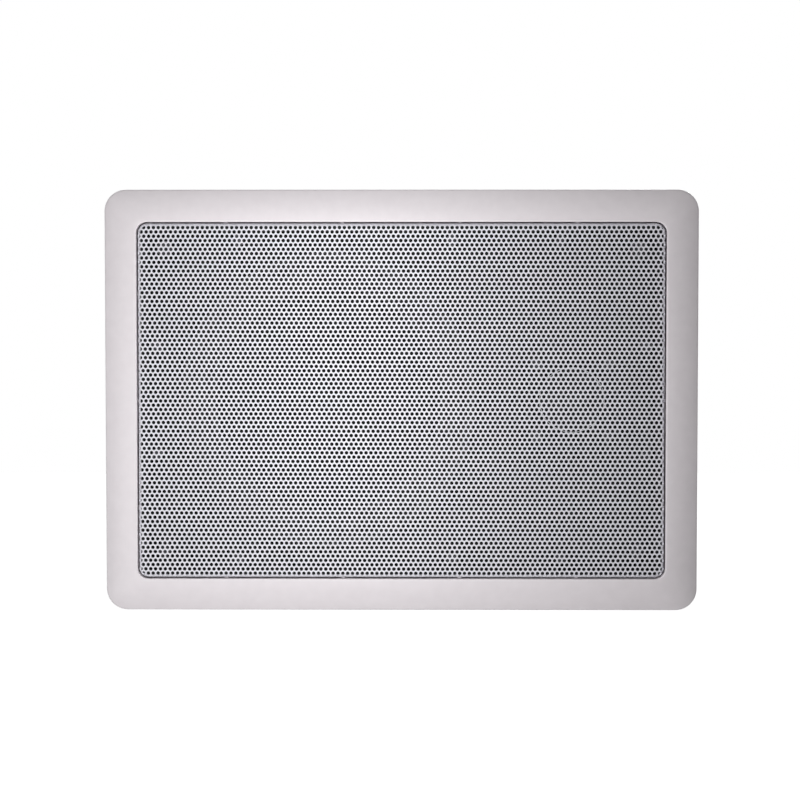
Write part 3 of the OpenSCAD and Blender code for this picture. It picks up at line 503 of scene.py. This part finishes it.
def cell_grid():
    """Centres of all cells as whole numbers of half steps: even rows on even places, odd rows on odd ones."""
    most = np.ceil((half_flat + reach) / GRID).astype(int) + 2
    row, place = np.meshgrid(np.arange(-most[1], most[1] + 1),
                             np.arange(-most[0], most[0] + 1), indexing="ij")
    keep = (row % 2 == 0) & ((place + row // 2) % 2 == 0)
    return np.stack([place[keep], row[keep]], -1)


def sheet_part(centres):
    """Closed sheet of the cells at these centres.

    It has an outer and an inner face, the holes' walls and the rim's wall.
    """
    border = centres[:, None] + BORDER
    keys, index = np.unique(border.reshape(-1, 2), axis=0, return_inverse=True)
    index = index.reshape(border.shape[:2])
    grid_points = on_sheet(keys)
    turn = np.radians(45 * np.arange(8))
    ring = on_sheet(centres)[:, None] + HOLE_R * np.stack([np.cos(turn), np.sin(turn)], -1)
    open_cell = past(ring).max(1) < reach - 0.3
    ring = np.where(open_cell[:, None, None], ring, on_sheet(centres)[:, None])
    flat = np.concatenate([grid_points, ring.reshape(-1, 2)])
    points = np.concatenate([bent(flat, 0.0), bent(flat, SHEET)])
    under = len(flat)
    hole = len(grid_points) + np.arange(len(centres))[:, None] * 8 + np.arange(8)
    b0, b1 = index, np.roll(index, -1, 1)
    h0, h1 = hole, np.roll(hole, -1, 1)
    face = np.stack([h0, b0, b1, h1], -1).reshape(-1, 4)
    back = face[:, ::-1] + under
    wall = np.stack([h1, h1 + under, h0 + under, h0], -1)[open_cell].reshape(-1, 4)
    edge = np.stack([b0, b1], -1).reshape(-1, 2)
    _, where, times = np.unique(np.sort(edge, 1), axis=0, return_index=True, return_counts=True)
    rim = edge[where[times == 1]]
    skirt = np.stack([rim[:, 1], rim[:, 0], rim[:, 0] + under, rim[:, 1] + under], -1)
    return points, np.concatenate([face, back, wall, skirt])


cells = cell_grid()
corner_past = past(on_sheet(cells[:, None] + BORDER))
cells = cells[corner_past.min(1) < reach - 0.05]
print("cells in the sheet:", len(cells))

# %% [markdown]
# The whole sheet is far past what one mesh should hold, so it is laid in three
# panels side by side. They lie in one plane and share their border points, so
# no seam shows. Cells at the rim are squeezed flat where they pass the sheet's
# end, which leaves faces with no area, and those are taken out.

# %% Three panels of the grille
PANELS = 3


def tidy_faces(points, faces):
    """Drops repeated corners.

    Points closer than a micrometre are one, and faces with under three corners are gone.
    """
    _, first, index = np.unique(np.round(points * 1000).astype(int), axis=0, return_index=True,
                                return_inverse=True)
    index = index.reshape(-1)[faces]
    same = index == np.roll(index, -1, 1)
    whole = ~same.any(1)
    kept = index[whole].tolist()
    odd = [list(dict.fromkeys(f)) for f in index[~whole].tolist()]
    return points[first], kept + [f for f in odd if len(f) > 2]


def grille_panels():
    """One piece for each third of the sheet's width."""
    share = (cells[:, 0] * GRID[0] + half_pan[0]) / (2 * half_pan[0])
    place = np.clip((share * PANELS).astype(int), 0, PANELS - 1)
    made = []
    for number in range(PANELS):
        panel = tidy_faces(*sheet_part(cells[place == number]))
        piece = make_piece(f"grille_panel_{number + 1}", outward(*panel), "speaker", "grille_paint", "grille")
        made.append(piece)
    return made


grille_pieces = grille_panels()

# %% [markdown]
# ## The soft rings of the woofer
#
# The rubber surround and the cloth spider each hold the cone at one edge and
# the basket at the other, and bend between the two when the cone moves. Each is
# one profile turned about the axis.

# %% Surround and spider
def ring_between(name, section, node, slot):
    """A ring turned about the middle of a imported node's box, standing for that node.
    """
    low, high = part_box(node)
    axis = np.array([(low.x + high.x) / 2, (low.z + high.z) / 2]) / MM
    piece = make_piece(name, turned(section, axis, 192), None, slot, node, 60.0)
    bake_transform(piece)
    points = np.empty(len(piece.data.vertices) * 3)
    piece.data.vertices.foreach_get("co", points)
    points = points.reshape(-1, 3) / MM
    return piece


def sheet_section(path, thick):
    """A path of (radius, height) points given a thickness to its left: path + thick * normal, and back."""
    along = np.gradient(path, axis=0)
    normal = np.stack([-along[:, 1], along[:, 0]], -1) / np.linalg.norm(along, axis=1, keepdims=True)
    return np.concatenate([path, (path + thick * normal)[::-1]])


def surround_section(steps=28):
    """Flat lip, half circle of the roll and flat lip: r = middle + R cos a, h = R sin a."""
    seat = -10.0
    inner, outer, rim, lip = 61.5, 71.1, 58.4, 75.6
    middle, radius = (inner + outer) / 2, (outer - inner) / 2
    angle = np.radians(np.linspace(180, 0, steps))
    roll = np.stack([middle + radius * np.cos(angle), seat + radius * np.sin(angle)], -1)
    path = np.concatenate([[[rim, seat]], roll, [[lip, seat]]])
    return sheet_section(path, 0.6)


def spider_section(steps=160):
    """A sine wave between two flat rims: h = seat + 1.2 sin(4 turns from the outer to the inner edge)."""
    seat, inner, outer = -42.5, 16.2, 33.0
    t = np.linspace(0, 1, steps)
    wave = np.stack([outer + (inner - outer) * t, seat + 1.2 * np.sin(t * 8 * np.pi)], -1)
    path = np.concatenate([[[39.8, seat]], wave, [[12.95, seat]]])[::-1]
    return sheet_section(path, 0.5)


surround = ring_between("surround_ring", surround_section(), "woofer_surround", "rubber")
spider = ring_between("spider_ring", spider_section(), "woofer_spider", "spider_cloth")

# %% [markdown]
# ## Finishes
#
# No finish is one flat colour. Each starts from a shader with the surface's own
# colour, roughness and metal, and then gets a colour that wanders a little, and
# most also get a relief too fine to be modelled. The patterns are placed by the
# object's own coordinates in metres, so a scale of 1000 repeats about once a
# millimetre, whatever piece it is on.

# %% Tools for finishes
def new_finish(name, colour, rough, metal=0.0, coat=0.0, sheen=0.0):
    """A material whose one shader has these values set on its own sockets."""
    material = bpy.data.materials.new(name)
    material.use_nodes = True
    shader = material.node_tree.nodes["Principled BSDF"]
    shader.inputs["Base Color"].default_value = (*colour, 1)
    shader.inputs["Roughness"].default_value = rough
    shader.inputs["Metallic"].default_value = metal
    shader.inputs["Coat Weight"].default_value = coat
    shader.inputs["Sheen Weight"].default_value = sheen
    return material


def add(material, kind, **values):
    """A new node with its properties or inputs set by name; spaces in names are written as underscores."""
    node = material.node_tree.nodes.new(kind)
    for key, value in values.items():
        if hasattr(node, key):
            setattr(node, key, value)
        else:
            node.inputs[key.replace("_", " ")].default_value = value
    return node


def join(material, out, into):
    """Links one socket to another."""
    material.node_tree.links.new(out, into)


def shader_of(material):
    """The material's Principled shader."""
    return material.node_tree.nodes["Principled BSDF"]


def where(material, stretch=(1, 1, 1)):
    """Object coordinates in metres, stretched along each axis."""
    place = add(material, "ShaderNodeTexCoord")
    mapping = add(material, "ShaderNodeMapping")
    mapping.inputs["Scale"].default_value = stretch
    join(material, place.outputs["Object"], mapping.inputs["Vector"])
    return mapping.outputs["Vector"]


def noise(material, scale, detail=3.0, rough=0.5, stretch=(1, 1, 1)):
    """A noise pattern's height, about 0.5 on average."""
    node = add(material, "ShaderNodeTexNoise", Scale=scale, Detail=detail, Roughness=rough)
    join(material, where(material, stretch), node.inputs["Vector"])
    return node.outputs["Fac"]


def spread(material, height, low, high, to_low, to_high):
    """Height from low to high becomes a value from to_low to to_high."""
    node = add(material, "ShaderNodeMapRange", From_Min=low, From_Max=high, To_Min=to_low, To_Max=to_high)
    join(material, height, node.inputs["Value"])
    return node.outputs["Result"]


def tint(material, height, dark, light, low=0.3, high=0.7):
    """Colours the surface between dark and light by a height."""
    ramp = add(material, "ShaderNodeValToRGB")
    ramp.color_ramp.elements[0].position = low
    ramp.color_ramp.elements[0].color = (*dark, 1)
    ramp.color_ramp.elements[1].position = high
    ramp.color_ramp.elements[1].color = (*light, 1)
    join(material, height, ramp.inputs["Fac"])
    join(material, ramp.outputs["Color"], shader_of(material).inputs["Base Color"])
    return ramp


def relief(material, height, deep, strength=1.0):
    """Fine relief of so many millimetres, stacked on any relief that is already there."""
    bump = add(material, "ShaderNodeBump", Strength=strength, Distance=deep * MM)
    join(material, height, bump.inputs["Height"])
    normal = shader_of(material).inputs["Normal"]
    if normal.is_linked:
        join(material, normal.links[0].from_socket, bump.inputs["Normal"])
    join(material, bump.outputs["Normal"], normal)
    return bump


def shade_rough(material, height, smooth, rough):
    """Roughness wanders between smooth and rough with a height."""
    join(material, spread(material, height, 0.3, 0.7, smooth, rough), shader_of(material).inputs["Roughness"])


def bands(material, axis, step, detail=0.0):
    """Ridges across an axis of the object, one every step millimetres."""
    node = add(material, "ShaderNodeTexWave", bands_direction=axis, Scale=2 * np.pi / (20 * step * MM) ,
               Distortion=detail, Detail=1.0)
    join(material, where(material), node.inputs["Vector"])
    return node.outputs["Fac"]


def times(material, a, b):
    """Product of two heights."""
    node = add(material, "ShaderNodeMath", operation="MULTIPLY")
    join(material, a, node.inputs[0])
    join(material, b, node.inputs[1])
    return node.outputs["Value"]


# %% [markdown]
# The frame's plastic is a warm, pinkish light grey with the fine spark-eroded
# grain that hides sink marks. The grille is stoved powder paint: a touch bluer
# and whiter, with the faint orange peel that powder leaves as it flows.

# %% Frame plastic and grille paint
def frame_plastic():
    """Light grey moulding: fine grain about 0.3 mm across on a satin surface."""
    m = new_finish("frame_plastic", (0.775, 0.73, 0.755), 0.42)
    shader_of(m).inputs["Specular IOR Level"].default_value = 0.45
    tint(m, noise(m, 180.0, 4.0), (0.76, 0.715, 0.74), (0.79, 0.745, 0.77))
    shade_rough(m, noise(m, 90.0), 0.38, 0.46)
    relief(m, noise(m, 3200.0, 2.0), 0.012, 0.5)
    relief(m, noise(m, 900.0, 2.0), 0.01, 0.5)
    return m


def grille_paint():
    """White powder paint on steel, with orange peel about half a millimetre across."""
    m = new_finish("grille_paint", (0.73, 0.72, 0.775), 0.38)
    tint(m, noise(m, 120.0, 3.0), (0.72, 0.71, 0.765), (0.74, 0.73, 0.785))
    shade_rough(m, noise(m, 300.0), 0.33, 0.43)
    relief(m, noise(m, 1800.0, 2.0), 0.015, 0.5)
    return m


# %% [markdown]
# Everything behind the grille is black on purpose: seen through the holes, a
# pale part would show as a ghost. The blacks still differ. Moulded plastic has
# a grain, stove enamel flows smooth, foam is full of pores, paper is fibrous
# and rubber is dull with a faint bloom.

# %% Blacks
def black_plastic():
    """Moulded black plastic with a leathery grain of 0.6 mm cells."""
    m = new_finish("black_plastic", (0.01, 0.01, 0.011), 0.5)
    cells_node = add(m, "ShaderNodeTexVoronoi", Scale=1600.0)
    join(m, where(m), cells_node.inputs["Vector"])
    tint(m, noise(m, 60.0), (0.007, 0.007, 0.008), (0.013, 0.013, 0.014))
    shade_rough(m, noise(m, 200.0), 0.45, 0.6)
    shader_of(m).inputs["Specular IOR Level"].default_value = 0.15
    relief(m, cells_node.outputs["Distance"], 0.03, 0.5)
    return m


def black_steel():
    """Screws in black zinc: dark metal with lighter, worn patches here and there."""
    m = new_finish("black_steel", (0.06, 0.06, 0.065), 0.35, 0.85)
    tint(m, noise(m, 700.0, 4.0), (0.035, 0.035, 0.04), (0.10, 0.10, 0.11), 0.35, 0.8)
    shade_rough(m, noise(m, 1500.0), 0.28, 0.48)
    return m


def basket_paint():
    """Stoved black enamel on pressed steel, with a soft gloss and slight orange peel."""
    m = new_finish("basket_paint", (0.02, 0.02, 0.022), 0.3, 0.0, 0.3)
    tint(m, noise(m, 40.0), (0.016, 0.016, 0.018), (0.026, 0.026, 0.028))
    shade_rough(m, noise(m, 500.0), 0.26, 0.36)
    relief(m, noise(m, 700.0, 2.0), 0.03, 0.4)
    return m


def foam():
    """Closed-cell foam: pores of a quarter of a millimetre in a dull black, with painted shade in the pores.
    """
    m = new_finish("foam", (0.02, 0.02, 0.02), 0.95)
    pores = add(m, "ShaderNodeTexVoronoi", Scale=3500.0)
    join(m, where(m), pores.inputs["Vector"])
    # The pores are coloured darker than the foam between them: painted shade in the pits.
    tint(m, pores.outputs["Distance"], (0.008, 0.008, 0.008), (0.03, 0.03, 0.03), 0.1, 0.6)
    relief(m, pores.outputs["Distance"], 0.08, 0.8)
    return m


def rubber():
    """Dull butyl rubber with a greyish bloom."""
    m = new_finish("rubber", (0.01, 0.01, 0.01), 0.65, 0.0, 0.0, 0.08)
    tint(m, noise(m, 90.0, 5.0, 0.6), (0.007, 0.007, 0.007), (0.014, 0.014, 0.0145))
    relief(m, noise(m, 2500.0, 2.0), 0.01, 0.4)
    return m


def lead_cover():
    """Soft cover of a wire: dark, even and a little shiny."""
    m = new_finish("lead_cover", (0.035, 0.035, 0.038), 0.4, 0.0, 0.1)
    tint(m, noise(m, 150.0, 3.0), (0.028, 0.028, 0.03), (0.048, 0.048, 0.052))
    shade_rough(m, noise(m, 400.0), 0.34, 0.48)
    return m


def cone_paper():
    """Pressed pulp, dyed black: short fibres that lie every way."""
    m = new_finish("cone_paper", (0.008, 0.008, 0.009), 0.9)
    long_fibres = noise(m, 900.0, 6.0, 0.65, (1, 1, 0.25))
    cross_fibres = noise(m, 900.0, 6.0, 0.65, (0.25, 1, 1))
    tint(m, times(m, long_fibres, cross_fibres), (0.005, 0.005, 0.0055), (0.014, 0.014, 0.015), 0.15, 0.45)
    relief(m, times(m, long_fibres, cross_fibres), 0.12, 0.6)
    return m


def woven(m, step, deep):
    """Relief of a plain weave in the wall's plane: the product of two sets of ridges."""
    relief(m, times(m, bands(m, "X", step), bands(m, "Z", step)), deep, 0.8)


def dome_cloth():
    """Doped silk: a tight black weave under a tacky varnish."""
    m = new_finish("dome_cloth", (0.02, 0.02, 0.022), 0.55)
    tint(m, noise(m, 400.0), (0.014, 0.014, 0.016), (0.027, 0.027, 0.029))
    shader_of(m).inputs["Specular IOR Level"].default_value = 0.2
    woven(m, 0.35, 0.03)
    return m


def dog_nylon():
    """Glass-filled nylon: dark grey with pale fibre swirls on the skin."""
    m = new_finish("dog_nylon", (0.035, 0.035, 0.038), 0.48)
    tint(m, noise(m, 260.0, 6.0, 0.7, (1, 0.3, 1)), (0.024, 0.024, 0.026), (0.065, 0.065, 0.07), 0.35, 0.75)
    relief(m, noise(m, 1400.0), 0.02, 0.5)
    return m


# %% [markdown]
# The warm pieces are in the motor: resin-dipped cloth, a paper coil former and
# enamelled wire, whose turns are too fine to model and show as ridges along the
# axis, with painted shade in the grooves between them.

# %% Cloth, paper and wire
def spider_cloth():
    """Resin-dipped cotton in yellow ochre, an open weave of 0.6 mm."""
    m = new_finish("spider_cloth", (0.62, 0.40, 0.12), 0.7)
    tint(m, noise(m, 300.0, 4.0), (0.52, 0.32, 0.09), (0.70, 0.47, 0.16))
    woven(m, 0.6, 0.12)
    return m


def former_paper():
    """Brown kraft tube with a slight wax."""
    m = new_finish("former_paper", (0.42, 0.26, 0.12), 0.55)
    tint(m, noise(m, 500.0, 5.0, 0.6, (1, 0.3, 1)), (0.34, 0.2, 0.09), (0.5, 0.32, 0.15))
    return m


def copper():
    """Enamelled wire wound along the axis, a turn every 0.3 mm, with painted shade in the grooves between
    turns.
    """
    m = new_finish("copper", (0.62, 0.24, 0.09), 0.3, 0.9, 0.4)
    turns = bands(m, "Y", 0.3, 0.2)
    # The grooves between the turns are coloured darker: painted shade, added to the real ridges.
    tint(m, turns, (0.30, 0.09, 0.03), (0.72, 0.31, 0.13), 0.05, 0.6)
    relief(m, turns, 0.12, 0.9)
    return m


def winding_tape():
    """Yellow wrapping tape round the transformer's coil, with the seams of each wrap."""
    m = new_finish("winding_tape", (0.66, 0.44, 0.08), 0.35, 0.0, 0.2)
    tint(m, noise(m, 120.0, 4.0), (0.58, 0.37, 0.06), (0.72, 0.5, 0.11))
    relief(m, bands(m, "Y", 5.0, 0.4), 0.05, 0.6)
    return m


# %% [markdown]
# Steel comes in four states here: bright zinc on plates, screws and brackets,
# bare stacked sheets in the transformer, ground ferrite, which looks like dark
# stone, and brass in the terminals.

# %% Metals and ferrite
def zinc_steel():
    """Bright zinc: a cool metal with fine spangle and slightly uneven gloss."""
    m = new_finish("zinc_steel", (0.62, 0.63, 0.65), 0.3, 1.0)
    spangle = add(m, "ShaderNodeTexVoronoi", Scale=600.0)
    join(m, where(m), spangle.inputs["Vector"])
    tint(m, spangle.outputs["Distance"], (0.55, 0.56, 0.58), (0.68, 0.69, 0.71), 0.1, 0.7)
    shade_rough(m, noise(m, 350.0, 4.0), 0.24, 0.42)
    relief(m, noise(m, 1200.0), 0.008, 0.5)
    return m


def ferrite():
    """Ground ferrite: charcoal with tiny chips and a dry sheen."""
    m = new_finish("ferrite", (0.05, 0.05, 0.053), 0.62)
    tint(m, noise(m, 1100.0, 6.0, 0.7), (0.03, 0.03, 0.032), (0.085, 0.085, 0.09), 0.3, 0.75)
    relief(m, noise(m, 1800.0, 4.0, 0.7), 0.05, 0.5)
    return m


def brass():
    """Nickel-free brass, slightly dulled."""
    m = new_finish("brass", (0.72, 0.52, 0.2), 0.32, 1.0)
    tint(m, noise(m, 500.0, 4.0), (0.62, 0.43, 0.15), (0.8, 0.6, 0.26))
    return m


def core_steel():
    """Stack of thin varnished sheets: a dark line every half millimetre across the stack."""
    m = new_finish("core_steel", (0.24, 0.23, 0.22), 0.45, 0.7)
    sheets = bands(m, "Z", 0.5)
    tint(m, sheets, (0.05, 0.047, 0.045), (0.30, 0.29, 0.28), 0.1, 0.45)
    relief(m, sheets, 0.06, 0.7)
    return m


# %% [markdown]
# The board, its parts and the insulators close the list. The board's green has
# wide tracks that show as a lighter tone under the mask, as on a simple
# crossover with heavy current.

# %% Board, parts and insulators
def tag_board():
    """Phenolic paper board, brown, with fibres along it."""
    m = new_finish("tag_board", (0.2, 0.1, 0.035), 0.45)
    tint(m, noise(m, 700.0, 5.0, 0.6, (1, 1, 0.2)), (0.14, 0.065, 0.02), (0.27, 0.14, 0.05))
    return m


def board_green():
    """Green mask over wide tracks: the edges of a stretched cell pattern stand a little lighter."""
    m = new_finish("board_green", (0.02, 0.14, 0.05), 0.3, 0.0, 0.3)
    tracks = add(m, "ShaderNodeTexVoronoi", feature="DISTANCE_TO_EDGE", distance="EUCLIDEAN", Scale=110.0)
    join(m, where(m, (1, 0.1, 1)), tracks.inputs["Vector"])
    ramp = tint(m, tracks.outputs["Distance"], (0.012, 0.09, 0.03), (0.03, 0.2, 0.075), 0.07, 0.09)
    ramp.color_ramp.interpolation = "EASE"
    relief(m, spread(m, tracks.outputs["Distance"], 0.07, 0.09, 0.0, 1.0), 0.05, 0.8)
    return m


def film_yellow():
    """Yellow wrapped film with resin-filled ends."""
    m = new_finish("film_yellow", (0.72, 0.46, 0.03), 0.3, 0.0, 0.3)
    tint(m, noise(m, 150.0, 3.0), (0.66, 0.41, 0.02), (0.78, 0.52, 0.05))
    relief(m, noise(m, 900.0, 2.0), 0.02, 0.4)
    return m


def ceramic():
    """Cast ceramic and glazed insulator: cream, chalky, with fine pits."""
    m = new_finish("ceramic", (0.72, 0.70, 0.63), 0.6)
    tint(m, noise(m, 800.0, 5.0, 0.65), (0.62, 0.60, 0.53), (0.78, 0.76, 0.69))
    relief(m, noise(m, 1600.0, 3.0), 0.03, 0.5)
    return m


FINISHES = {make.__name__: make() for make in (
    frame_plastic, grille_paint, black_plastic, black_steel, basket_paint, foam, rubber, lead_cover,
    cone_paper, dome_cloth, dog_nylon, spider_cloth, former_paper,
    copper, winding_tape, zinc_steel, ferrite, brass,
    core_steel, tag_board, board_green, film_yellow, ceramic)}
print("finishes:", len(FINISHES))

# %% [markdown]
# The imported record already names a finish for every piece, so the finishes are
# handed out by that list, to packed and new pieces alike.

# %% Give each piece its finish
def dress(piece, finish):
    """Puts one finish in a piece's only material slot."""
    piece.data.materials.clear()
    piece.data.materials.append(finish)


finish_of = {part["node"]: part["material_slot"] for part in frame["record"]["subparts"]}
for node, slot in finish_of.items():
    dress(nodes[node], FINISHES[slot])
for piece in (frame_piece, *grille_pieces, surround, spider):
    dress(piece, FINISHES[piece["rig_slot"]])
print("dressed:", len(finish_of), "packed pieces")

# %% [markdown]
# ## Studio
#
# The picture has a plain white ground and one soft light near the front, a
# little left of the middle, so the surface is brightest there and falls away to
# the right. The lamp stands between camera and object and is hidden from the
# camera. The ground's white comes from what camera rays see and not from more
# light, so the object keeps its own level.

# %% World, floor and lamps
AMBIENT = 0.1
FLOOR_LOW = -0.36


def make_world():
    """White for camera, glossy and transmission rays; a dim even light for the rest."""
    world = bpy.data.worlds.new("studio")
    scene.world = world
    world.use_nodes = True
    tree = world.node_tree
    background = tree.nodes["Background"]
    background.inputs["Color"].default_value = (1, 1, 1, 1)
    path = tree.nodes.new("ShaderNodeLightPath")
    level = tree.nodes.new("ShaderNodeMapRange")
    level.inputs["To Min"].default_value = AMBIENT
    level.inputs["To Max"].default_value = 1.0
    seen = path.outputs["Is Camera Ray"]
    for ray in ("Is Glossy Ray", "Is Transmission Ray"):
        either = tree.nodes.new("ShaderNodeMath")
        either.operation = "MAXIMUM"
        tree.links.new(seen, either.inputs[0])
        tree.links.new(path.outputs[ray], either.inputs[1])
        seen = either.outputs["Value"]
    tree.links.new(seen, level.inputs["Value"])
    tree.links.new(level.outputs["Result"], background.inputs["Strength"])


def make_floor():
    """A wide pale floor below the picture. Camera rays get a lift to white, and a shadow still darkens it."""
    mesh = bpy.data.meshes.new("floor")
    far = 4.0
    mesh.from_pydata([(-far, -far, FLOOR_LOW), (far, -far, FLOOR_LOW),
                      (far, far, FLOOR_LOW), (-far, far, FLOOR_LOW)],
                     [], [(0, 1, 2, 3)])
    floor = bpy.data.objects.new("floor", mesh)
    scene.collection.objects.link(floor)
    material = bpy.data.materials.new("floor_paper")
    material.use_nodes = True
    shader = shader_of(material)
    shader.inputs["Base Color"].default_value = (0.85, 0.85, 0.85, 1)
    shader.inputs["Roughness"].default_value = 0.9
    shader.inputs["Emission Color"].default_value = (1, 1, 1, 1)
    path = add(material, "ShaderNodeLightPath")
    join(material, spread(material, path.outputs["Is Camera Ray"], 0.0, 1.0, 0.0, 0.93),
         shader.inputs["Emission Strength"])
    mesh.materials.append(material)


def make_lamp(name, place, aim, wide, high, watts):
    """A soft rectangular lamp that the camera doesn't see."""
    lamp = bpy.data.lights.new(name, "AREA")
    lamp.shape = "RECTANGLE"
    lamp.size = wide
    lamp.size_y = high
    lamp.energy = watts
    piece = bpy.data.objects.new(name, lamp)
    piece.location = place
    piece.rotation_euler = (Vector(aim) - Vector(place)).to_track_quat("-Z", "Y").to_euler()
    piece.visible_camera = False
    scene.collection.objects.link(piece)


make_world()
make_floor()
make_lamp("near_lamp", (-0.032, -0.25, 0.03), (-0.032, 0.0, 0.03), 0.12, 0.3, 0.61)
make_lamp("left_lamp", (-0.36, -0.5, -0.2), (-0.05, 0.0, 0.0), 0.3, 0.4, 1.1)
make_lamp("back_lamp", (0.5, 0.9, 0.6), (0.0, 0.02, 0.0), 0.7, 0.7, 8.0)
print("lamps and floor in place")
